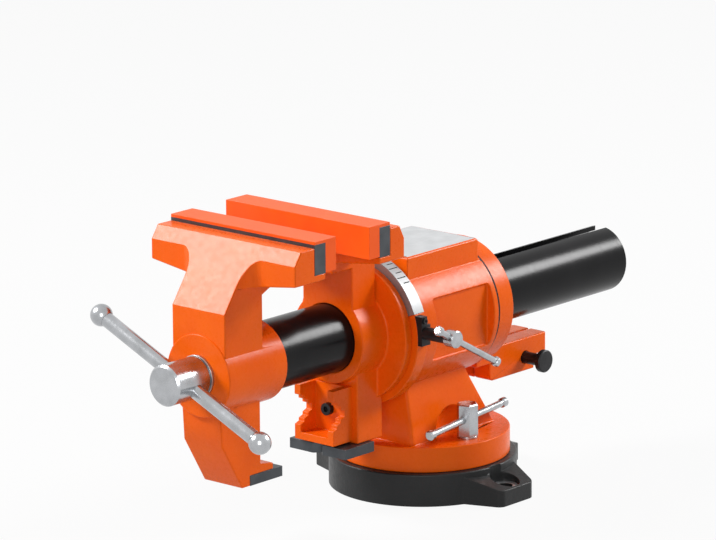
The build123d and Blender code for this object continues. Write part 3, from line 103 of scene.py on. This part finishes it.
bpy.ops.object.select_all(action="DESELECT")
bpy.ops.mesh.primitive_plane_add(size=FLOOR_SIZE, location=(0, 0, 0))
floor = bpy.context.object
floor.name = "studio_floor"
floor_finish = bpy.data.materials.new("studio_white")
floor_finish.use_nodes = True
tree = floor_finish.node_tree
tree.nodes.clear()
floor_out = tree.nodes.new("ShaderNodeOutputMaterial")
floor_mix = tree.nodes.new("ShaderNodeMixShader")
floor_matte = tree.nodes.new("ShaderNodeBsdfDiffuse")
floor_matte.inputs["Color"].default_value = FLOOR_GREY
floor_glow = tree.nodes.new("ShaderNodeEmission")
floor_glow.inputs["Color"].default_value = PLAIN_WHITE
floor_glow.inputs["Strength"].default_value = 1.0
floor_share = tree.nodes.new("ShaderNodeMath")
floor_share.operation = "MULTIPLY"
floor_share.inputs[1].default_value = BACKDROP_SHARE
tree.links.new(light_path_mask(tree.nodes, tree.links), floor_share.inputs[0])
tree.links.new(floor_share.outputs[0], floor_mix.inputs["Fac"])
tree.links.new(floor_matte.outputs[0], floor_mix.inputs[1])
tree.links.new(floor_glow.outputs[0], floor_mix.inputs[2])
tree.links.new(floor_mix.outputs[0], floor_out.inputs["Surface"])
floor.data.materials.append(floor_finish)
print("floor laid")

# %% [markdown]
# ## The lamps
# A painted casting shows its planes only if they get unlike amounts of light. The brightest panel
# hangs high on the far side of the jaws, so the slopes and the tops mirror it towards the camera. A
# second one, above and beyond the tube's end on the near side, draws the long band on the tube and
# the barrel. A weak, low panel near the camera lights the faces towards the handle. The air gives
# the rest, and looks plain white wherever the camera or a mirroring surface meets it.

# %% Light the air
AIR_LIGHT = 0.13  # how strongly the air lights matt surfaces
world = bpy.data.worlds.new("studio_air")
bpy.context.scene.world = world
world.use_nodes = True
tree = world.node_tree
tree.nodes.clear()
world_out = tree.nodes.new("ShaderNodeOutputWorld")
world_mix = tree.nodes.new("ShaderNodeMixShader")
world_light = tree.nodes.new("ShaderNodeBackground")
world_light.inputs["Color"].default_value = PLAIN_WHITE
world_light.inputs["Strength"].default_value = AIR_LIGHT
world_white = tree.nodes.new("ShaderNodeBackground")
world_white.inputs["Color"].default_value = PLAIN_WHITE
world_white.inputs["Strength"].default_value = 1.0
tree.links.new(light_path_mask(tree.nodes, tree.links), world_mix.inputs["Fac"])
tree.links.new(world_light.outputs[0], world_mix.inputs[1])
tree.links.new(world_white.outputs[0], world_mix.inputs[2])
tree.links.new(world_mix.outputs[0], world_out.inputs["Surface"])
print("air lit at", AIR_LIGHT)

# %% Hang the lamps
LAMP_DISTANCE = 2.4
MIDDLE = Vector((-0.05, 0, 0.15))  # what the lamps face, near the middle of the tool


def hang_panel(name, direction, width, height, watts):
    """A rectangular soft lamp in the given direction from the tool, facing it."""
    lamp_data = bpy.data.lights.new(name, "AREA")
    lamp_data.shape = "RECTANGLE"
    lamp_data.size = width
    lamp_data.size_y = height
    lamp_data.energy = watts
    lamp = bpy.data.objects.new(name, lamp_data)
    towards = Vector(direction).normalized()
    lamp.location = MIDDLE + towards * LAMP_DISTANCE
    lamp.rotation_euler = (-towards).to_track_quat("-Z", "Y").to_euler()
    bpy.context.scene.collection.objects.link(lamp)


hang_panel("far_panel", (-0.478, 0.627, 0.613), 0.75, 0.75, 68)
hang_panel("tube_panel", (0.74, -0.43, 0.52), 0.9, 0.7, 54)
hang_panel("front_panel", (-0.76, -0.58, 0.26), 0.9, 0.9, 16)

# %% [markdown]
# ## Finishes
# Each finish is a small node tree on Object coordinates, so its grain sits still on the piece. A
# noise of a few millimetres moves the roughness and the colour a little, and a finer one bends the
# surface through a Bump node.


# %% Write the helpers for finishes
def start_finish(name):
    """A new material with a Principled shader; returns the material, its tree and the shader."""
    finish = bpy.data.materials.new(name)
    finish.use_nodes = True
    finish.node_tree.nodes.clear()
    out = finish.node_tree.nodes.new("ShaderNodeOutputMaterial")
    shader = finish.node_tree.nodes.new("ShaderNodeBsdfPrincipled")
    finish.node_tree.links.new(shader.outputs["BSDF"], out.inputs["Surface"])
    return finish, finish.node_tree, shader


def object_place(tree, stretch=(1, 1, 1), centre=(0, 0, 0)):
    """Object coordinates about centre, times stretch: a small factor draws a grain out along its axis."""
    place = tree.nodes.new("ShaderNodeTexCoord")
    mapping = tree.nodes.new("ShaderNodeMapping")
    mapping.inputs["Location"].default_value = [-c * s for c, s in zip(centre, stretch)]
    mapping.inputs["Scale"].default_value = stretch
    tree.links.new(place.outputs["Object"], mapping.inputs["Vector"])
    return mapping.outputs["Vector"]


def noise(tree, vector, size, detail=3.0, rough=0.5):
    """A noise whose features are about size metres across."""
    texture = tree.nodes.new("ShaderNodeTexNoise")
    texture.inputs["Scale"].default_value = 1.0 / size
    texture.inputs["Detail"].default_value = detail
    texture.inputs["Roughness"].default_value = rough
    tree.links.new(vector, texture.inputs["Vector"])
    return texture.outputs["Fac"]


NOISE_LOW = 0.25  # taken as the low end of a noise's usual values
NOISE_HIGH = 0.75  # and this as the high end


def span(tree, value, low, high):
    """Maps a noise's usual values onto the range from low to high."""
    ranged = tree.nodes.new("ShaderNodeMapRange")
    ranged.inputs["From Min"].default_value = NOISE_LOW
    ranged.inputs["From Max"].default_value = NOISE_HIGH
    ranged.inputs["To Min"].default_value = low
    ranged.inputs["To Max"].default_value = high
    tree.links.new(value, ranged.inputs["Value"])
    return ranged.outputs["Result"]


def two_tones(tree, value, dark, light):
    """A colour between two tones."""
    ramp = tree.nodes.new("ShaderNodeMix")
    ramp.data_type = "RGBA"
    ramp.inputs["A"].default_value = (*dark, 1)
    ramp.inputs["B"].default_value = (*light, 1)
    tree.links.new(value, ramp.inputs["Factor"])
    return ramp.outputs["Result"]


def press_bumps(tree, shader, layers):
    """Chains Bump nodes into the shader's normal; each layer is (height, strength, distance)."""
    last = None
    for height, strength, distance in layers:
        bump = tree.nodes.new("ShaderNodeBump")
        bump.inputs["Strength"].default_value = strength
        bump.inputs["Distance"].default_value = distance
        tree.links.new(height, bump.inputs["Height"])
        if last is not None:
            tree.links.new(last, bump.inputs["Normal"])
        last = bump.outputs["Normal"]
    tree.links.new(last, shader.inputs["Normal"])


# %% [markdown]
# ### Enamel on cast iron
# The castings are sprayed with a thick semi-gloss enamel, orange above and dark grey on the base.
# The coat flows over the sand's skin, so the light breaks up softly and small dips stay a shade
# deeper. The specular level is low, because a strong orange goes pink under a white studio when it
# mirrors too much of it. One function makes both colours: base and body are painted the same way.


# %% Mix the enamels
CLOUD_SIZE = 0.035  # slow drifts of colour across a casting
SKIN_SIZE = 0.0045  # the sand's skin under the coat
PEEL_SIZE = 0.0011  # the fine ripple of sprayed enamel
SKIN_DEPTH = 0.0006
PEEL_DEPTH = 0.0002


def casting_enamel(name, deep, bright, roughness, grain, gloss):
    """An enamel between two tones; grain is the strength of its skin, gloss its specular level."""
    finish, tree, shader = start_finish(name)
    place = object_place(tree)
    cloud = noise(tree, place, CLOUD_SIZE, 2.0)
    skin = noise(tree, place, SKIN_SIZE, 4.0, 0.6)
    peel = noise(tree, place, PEEL_SIZE, 2.0)
    tree.links.new(two_tones(tree, span(tree, cloud, 0, 1), deep, bright), shader.inputs["Base Color"])
    tree.links.new(span(tree, skin, roughness - 0.05, roughness + 0.08), shader.inputs["Roughness"])
    shader.inputs["Specular IOR Level"].default_value = gloss
    layers = [(skin, 0.30 * grain, SKIN_DEPTH), (peel, 0.16 * grain, PEEL_DEPTH)]
    press_bumps(tree, shader, layers)
    return finish


orange_enamel = casting_enamel(
    "orange_enamel",
    deep=(0.80, 0.100, 0.002),
    bright=(0.87, 0.126, 0.003),
    roughness=0.27,
    grain=0.60,
    gloss=0.14,
)
grey_enamel = casting_enamel(
    "grey_enamel",
    deep=(0.010, 0.0105, 0.011),
    bright=(0.018, 0.0185, 0.019),
    roughness=0.38,
    grain=1.3,
    gloss=0.25,
)
print(orange_enamel.name, grey_enamel.name)

# %% [markdown]
# ### Moulded pads
# The two soft jaws are moulded from a tough plastic in a redder orange. They are smoother than the
# castings, with a faint mould texture.

# %% Mix the pad plastic
pad_plastic, tree, shader = start_finish("pad_plastic")
place = object_place(tree)
pad_cloud = noise(tree, place, 0.02, 2.0)
pad_grain = noise(tree, place, 0.0008, 3.0)
tree.links.new(
    two_tones(tree, span(tree, pad_cloud, 0, 1), (0.84, 0.088, 0.003), (0.90, 0.104, 0.004)),
    shader.inputs["Base Color"],
)
tree.links.new(span(tree, pad_grain, 0.38, 0.48), shader.inputs["Roughness"])
shader.inputs["Specular IOR Level"].default_value = 0.26
press_bumps(tree, shader, [(pad_grain, 0.12, 0.0002)])
print(pad_plastic.name)

# %% [markdown]
# ### Lacquered tube
# The slide tube is ground, then lacquered black. A noise drawn out across X gives it the fine lines
# that grinding leaves under the lacquer, running round the tube.

# %% Mix the tube lacquer
ROUND_X = (1.0, 0.05, 0.05)  # draws a grain out across the slide axis
tube_lacquer, tree, shader = start_finish("tube_lacquer")
tube_lines = noise(tree, object_place(tree, ROUND_X), 0.0009, 2.0)
tube_cloud = noise(tree, object_place(tree), 0.03, 2.0)
tree.links.new(
    two_tones(tree, span(tree, tube_cloud, 0, 1), (0.003, 0.003, 0.0035), (0.006, 0.006, 0.0065)),
    shader.inputs["Base Color"],
)
tree.links.new(span(tree, tube_lines, 0.20, 0.27), shader.inputs["Roughness"])
shader.inputs["Specular IOR Level"].default_value = 0.13
press_bumps(tree, shader, [(tube_lines, 0.05, 0.0001)])
print(tube_lacquer.name)

# %% [markdown]
# ### Bare and plated steel
# Zinc plate is bright and a little milky. Turned steel has fine rings about its axis, and ground
# steel has straight lines, which a noise stretched along one axis gives. Blackened screws are matt
# and dark, with the metal just showing. The metals' own tones are darker than they look in a shop,
# because all that they mirror here is white.


# %% Mix the steels
def lined_steel(name, dark, light, low_rough, high_rough, stretch, line, strength, metal=1.0):
    """A metal with fine lines, drawn out along the axes where stretch is small."""
    finish, tree, shader = start_finish(name)
    lines = noise(tree, object_place(tree, stretch), line, 3.0, 0.6)
    cloud = noise(tree, object_place(tree), 0.012, 3.0)
    tree.links.new(two_tones(tree, span(tree, cloud, 0, 1), dark, light), shader.inputs["Base Color"])
    tree.links.new(span(tree, lines, low_rough, high_rough), shader.inputs["Roughness"])
    shader.inputs["Metallic"].default_value = metal
    press_bumps(tree, shader, [(lines, strength, 0.00015)])
    return finish


EVEN = (1, 1, 1)  # no lines, the same grain every way
ALONG_X = (0.05, 1.0, 1.0)
ALONG_Y = (1.0, 0.05, 1.0)
bright_zinc = lined_steel(
    "bright_zinc", (0.36, 0.37, 0.38), (0.50, 0.51, 0.53), 0.17, 0.30, EVEN, 0.0016, 0.06
)
turned_steel = lined_steel(
    "turned_steel", (0.42, 0.43, 0.44), (0.54, 0.55, 0.56), 0.28, 0.42, ROUND_X, 0.0008, 0.18
)
milled_steel = lined_steel(
    "milled_steel", (0.54, 0.55, 0.56), (0.64, 0.65, 0.66), 0.36, 0.50, ALONG_X, 0.0010, 0.22
)
jaw_steel = lined_steel(
    "jaw_steel", (0.055, 0.060, 0.066), (0.085, 0.092, 0.10), 0.34, 0.5, ALONG_Y, 0.0012, 0.25, 0.85
)
black_oxide = lined_steel(
    "black_oxide", (0.012, 0.012, 0.013), (0.024, 0.024, 0.026), 0.34, 0.5, EVEN, 0.0014, 0.12, 0.6
)
turned_bronze = lined_steel(
    "turned_bronze", (0.42, 0.25, 0.09), (0.55, 0.35, 0.14), 0.26, 0.4, ROUND_X, 0.0008, 0.15
)
print("metals:", bright_zinc.name, turned_steel.name, milled_steel.name, jaw_steel.name)
print("and", black_oxide.name, turned_bronze.name)

# %% [markdown]
# ### The engraved scale
# The scale ring is turned bright, and the cuts on its rim are filled with black paint. The paint is a
# matter of place: it lies wherever the surface is deeper than the rim and away from the ring's faces.
# The distance from the slide axis comes from a Vector Math node, after X is squeezed to nothing.

# %% Find the slide axis and the scale's rim
spindle_low, spindle_high = (Vector(corner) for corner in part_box("spindle"))
ring_low, ring_high = (Vector(corner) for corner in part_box("scale_ring"))
SLIDE_AXIS = (0, 0, (spindle_low.z + spindle_high.z) / 2)
RIM_RADIUS = ring_high.z - SLIDE_AXIS[2]
PAINT_DEPTH = 0.0002  # deeper than this below the rim is a cut
PAINT_REACH = 0.0015  # no paint deeper than this, which is below every cut
FACE_MARGIN = 0.0004  # no paint this close to the ring's two flat faces
print("slide axis at", SLIDE_AXIS, "rim", RIM_RADIUS)


# %% Mix the scale's finish
def compared(tree, value, operation, limit):
    """One where the value is greater or less than the limit."""
    test = tree.nodes.new("ShaderNodeMath")
    test.operation = operation
    test.inputs[1].default_value = limit
    tree.links.new(value, test.inputs[0])
    return test.outputs[0]


def both(tree, first, second):
    """One where both values are one."""
    product = tree.nodes.new("ShaderNodeMath")
    product.operation = "MULTIPLY"
    tree.links.new(first, product.inputs[0])
    tree.links.new(second, product.inputs[1])
    return product.outputs[0]


scale_finish, tree, shader = start_finish("engraved_scale")
from_axis = tree.nodes.new("ShaderNodeVectorMath")
from_axis.operation = "LENGTH"
tree.links.new(object_place(tree, (0, 1, 1), SLIDE_AXIS), from_axis.inputs[0])
along = tree.nodes.new("ShaderNodeSeparateXYZ")
tree.links.new(object_place(tree), along.inputs[0])
deep = compared(tree, from_axis.outputs["Value"], "LESS_THAN", RIM_RADIUS - PAINT_DEPTH)
near_rim = compared(tree, from_axis.outputs["Value"], "GREATER_THAN", RIM_RADIUS - PAINT_REACH)
behind_front = compared(tree, along.outputs["X"], "GREATER_THAN", ring_low.x + FACE_MARGIN)
before_rear = compared(tree, along.outputs["X"], "LESS_THAN", ring_high.x - FACE_MARGIN)
paint = both(tree, both(tree, deep, near_rim), both(tree, behind_front, before_rear))
ring_lines = noise(tree, object_place(tree, ROUND_X), 0.0008, 3.0)
RING_STEEL = (0.33, 0.335, 0.34)
MARK_PAINT = (0.010, 0.010, 0.010)
tree.links.new(two_tones(tree, paint, RING_STEEL, MARK_PAINT), shader.inputs["Base Color"])
tree.links.new(span(tree, ring_lines, 0.48, 0.60), shader.inputs["Roughness"])
shader.inputs["Metallic"].default_value = 0.75
press_bumps(tree, shader, [(ring_lines, 0.12, 0.0001)])
print(scale_finish.name)

# %% [markdown]
# ### Which finish on which slot
# The frame's record names a material slot for each solid. One table pairs these slots with the
# finishes mixed above. The scale ring is the exception and gets its own finish further down.

# %% Pair the slots with the finishes
slot_finish = {
    "orange_paint": orange_enamel,
    "orange_soft": pad_plastic,
    "base_paint": grey_enamel,
    "black_tube": tube_lacquer,
    "black_steel": black_oxide,
    "jaw_steel": jaw_steel,
    "bright_steel": turned_steel,
    "zinc": bright_zinc,
    "bronze": turned_bronze,
}
print("finishes:", sorted(m.name for m in slot_finish.values()))

# %% [markdown]
# ## Softened edges
# A solid from CAD has knife edges, and nothing real does. Each piece is copied, its loose triangles
# are merged and its flat faces joined. Its edges then get a bevel weight, which grows with the angle
# between their faces. On most castings the inner corners carry the wider fillet, because sand can't
# hold a sharp one. Turned and cut pieces have the same small edge everywhere. A Weighted Normal
# modifier keeps the large faces flat beside the rounded edges. The copy then stands for the solid.
#
# The Bevel modifier can clamp its width to the shortest edge nearby. That suits small pieces, but it
# shrinks a casting's radii to nothing, so castings are bevelled without it. The price is that a
# radius which is too wide for a crowded corner folds over itself there.


# %% Write the softening helpers
node_slot = {entry["node"]: entry["material_slot"] for entry in frame["record"]["subparts"]}
node_body = {}
for body, group in frame["record"]["behaviour"]["bodies"].items():
    for node in group:
        node_body[node] = body
MERGE_GAP = 0.000005  # corners closer than this are one
FLAT_ANGLE = radians(0.6)  # faces closer in angle than this are one
SHARP = radians(28)  # a flatter edge than this stays as it is
FULL = radians(75)  # a sharper edge than this gets the whole radius
SMOOTH_ANGLE = radians(35)  # flatter edges than this are shaded smooth
BEVEL_STEPS = 4
OUTER_SHARE = 0.7  # a casting's outer radius over its inner one


def select_only(piece):
    bpy.ops.object.select_all(action="DESELECT")
    piece.select_set(True)
    bpy.context.view_layer.objects.active = piece


def merged_copy(node):
    """A copy of a solid's mesh with its triangles joined up and its flat faces made whole."""
    piece = frame["nodes"][node].copy()
    piece.data = frame["nodes"][node].data.copy()
    piece.name = node + "_finished"
    piece.parent = None
    for key in list(piece.keys()):
        del piece[key]
    bpy.context.scene.collection.objects.link(piece)
    select_only(piece)
    bpy.ops.object.mode_set(mode="EDIT")
    bpy.ops.mesh.select_all(action="SELECT")
    bpy.ops.mesh.remove_doubles(threshold=MERGE_GAP)
    bpy.ops.mesh.dissolve_limited(angle_limit=FLAT_ANGLE)
    bpy.ops.mesh.select_all(action="DESELECT")
    bpy.ops.object.mode_set(mode="OBJECT")
    return piece


def weigh_edges(piece, outer_share, inner_share):
    """Writes each sharp edge's bevel weight: it grows with the angle, up to its corner's share."""
    mesh = bmesh.new()
    mesh.from_mesh(piece.data)
    weight = mesh.edges.layers.float.new("bevel_weight_edge")
    for edge in mesh.edges:
        if edge.is_manifold and edge.calc_face_angle(0) > SHARP:
            grown = min(1.0, (edge.calc_face_angle(0) - SHARP) / (FULL - SHARP))
            edge[weight] = grown * (outer_share if edge.is_convex else inner_share)
    mesh.to_mesh(piece.data)
    mesh.free()


def apply_modifier(piece, modifier):
    select_only(piece)
    bpy.ops.object.modifier_apply(modifier=modifier.name)


def soften(piece, radius, outer_share=1.0, inner_share=1.0, clamp=True):
    """Rounds the piece's sharp edges, smooths its curved faces and keeps its flat ones flat."""
    weigh_edges(piece, outer_share, inner_share)
    bevel = piece.modifiers.new("edge_radius", "BEVEL")
    bevel.limit_method = "WEIGHT"
    bevel.width = radius
    bevel.segments = BEVEL_STEPS
    bevel.use_clamp_overlap = clamp
    bevel.miter_outer = "MITER_ARC" if clamp else "MITER_SHARP"
    apply_modifier(piece, bevel)
    select_only(piece)
    bpy.ops.object.shade_smooth_by_angle(angle=SMOOTH_ANGLE)
    flat_normals = piece.modifiers.new("flat_normals", "WEIGHTED_NORMAL")
    flat_normals.keep_sharp = True
    apply_modifier(piece, flat_normals)


def finish_piece(piece, node, finish=None):
    """The piece stands for the node, on its body and in its slot's finish."""
    piece.data.materials.clear()
    piece.data.materials.append(finish or slot_finish[node_slot[node]])
    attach(piece, node_body[node])
    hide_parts(node)
    return piece


# %% [markdown]
# ### Which edge on which piece
# The widths below are largest on the sand castings, small on plates and pads, and just a broken edge
# on screws and turned parts. The base's is kept small, because a wider one folds where its lugs meet
# the ring. Rounded inner creases fold on the base and the moving jaw, so theirs stay sharp.

# %% Soften every solid
SMALL_EDGE = 0.0003
casting_radius = {
    "swivel_base": 0.0008,
    "stand": 0.0014,
    "fixed_jaw": 0.0018,
    "moving_jaw": 0.0014,
    "rear_collar": 0.0016,
}
crease_share = {"moving_jaw": 0.0, "swivel_base": 0.0}  # these two keep sharp inner creases
plate_radius = {
    "fixed_soft_pad": 0.0009,
    "moving_soft_pad": 0.0009,
    "fixed_jaw_plate": 0.0004,
    "moving_jaw_plate": 0.0004,
    "fixed_pipe_jaw": 0.0005,
    "fixed_rod_plate": 0.0005,
    "moving_rod_plate": 0.0005,
    "lock_block": 0.0006,
    "slide_tube": 0.0004,
    "scale_ring": 0.0002,
}
finished = {}
for node in sorted(frame["nodes"]):
    piece = merged_copy(node)
    if node in casting_radius:
        crease = crease_share.get(node, 1.0)
        soften(piece, casting_radius[node], OUTER_SHARE, crease, clamp=False)
    else:
        soften(piece, plate_radius.get(node, SMALL_EDGE))
    finished[node] = finish_piece(piece, node, scale_finish if node == "scale_ring" else None)
print("softened", len(finished), "pieces")

# %% [markdown]
# ## Faces in a second finish: some machined, some with painted shade
# Some faces aren't in the finish of their piece. Another material slot does this without new
# geometry, and the faces are picked in code, by where they lie and which way they look. The first of
# them is the anvil's top, which is milled clean of paint.


# %% Bare the anvil's top
def refinish(node, finish, belongs):
    """Gives the finish to the faces of a node's piece for which belongs(centre, normal) is true."""
    mesh = finished[node].data
    mesh.materials.append(finish)
    chosen = [face for face in mesh.polygons if belongs(face.center, face.normal)]
    for face in chosen:
        face.material_index = len(mesh.materials) - 1
    print(node, "faces in", finish.name, ":", len(chosen))


FACE_UP = 0.98  # a normal's upward share, above which a face looks up
NEAR_FACE = 0.0004
anvil_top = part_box("stand")[1][2]
refinish("stand", milled_steel, lambda c, n: c.z > anvil_top - NEAR_FACE and n.z > FACE_UP)

# %% [markdown]
# ### The seam round the body
# The head's collar turns behind the barrel, a little way off it. The barrel is slightly larger, so it
# hides the gap from the front. The two rims beside the gap get a dark finish as painted shade, which
# stands in for the shadow in the gap and makes a thin dark line round the body.

# %% Paint shade on the two rims
# the width of each rim that gets the painted shade
SEAM_SHADE_WIDTH = 0.0016
COLLAR_GAP = 0.0019  # from the barrel's rear end to the collar's front
collar_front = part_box("rear_collar")[0][0]
barrel_rear = collar_front - COLLAR_GAP
BARREL_CORE = 0.045  # the rim lies further from the slide axis than this
BARREL_LOW = 0.080  # and above the pedestal's foot


def shaded_seam_rim(centre, normal):
    """True for the faces round the barrel's rear edge, whichever way they look; they get painted shade.
    """
    outside = hypot(centre.y, centre.z - SLIDE_AXIS[2]) > BARREL_CORE and centre.z > BARREL_LOW
    return outside and centre.x > barrel_rear - SEAM_SHADE_WIDTH


# painted shade: the dark finish on both rims stands in for the shadow in the seam
refinish("stand", black_oxide, shaded_seam_rim)
refinish("rear_collar", black_oxide, lambda c, n: c.x < collar_front + SEAM_SHADE_WIDTH)

# %% [markdown]
# ### The seats of the bench bolts
# The round spots under the heads of the bench bolts are milled flat and bare. Their places and
# height come from the record's mounts, so they follow the holes.

# %% Bare the bolt seats
MM = 0.001
SPOT_RADIUS = 0.0125
mount_record = {mount["name"]: mount for mount in frame["record"]["mounts"]}
rear_hole = mount_record["rear_bench_bolt"]
spot_height = rear_hole["dims"]["length_mm"] * MM
spot_reach = rear_hole["pos_m"][0]
side_reach = mount_record["bench_bolts"]["dims"]["spacing_y_mm"] * MM / 2
spots = [(spot_reach, 0), (0, side_reach), (0, -side_reach)]


def on_spot(centre, normal):
    """True for the upward faces of the three bolt seats."""
    level = normal.z > FACE_UP and abs(centre.z - spot_height) < NEAR_FACE
    return level and any(hypot(centre.x - x, centre.y - y) < SPOT_RADIUS for x, y in spots)


refinish("swivel_base", milled_steel, on_spot)

# %% [markdown]
# ### The head of the lock screw
# The head's lock screw has a black shank, but its cross-drilled head is plated like the bar in it.

# %% Plate the lock screw's head
TEE_LENGTH = 0.0095  # the head's length from the screw's outer end
lock_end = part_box("lock_screw")[0][1]
refinish("lock_screw", bright_zinc, lambda c, n: c.y < lock_end + TEE_LENGTH + NEAR_FACE)
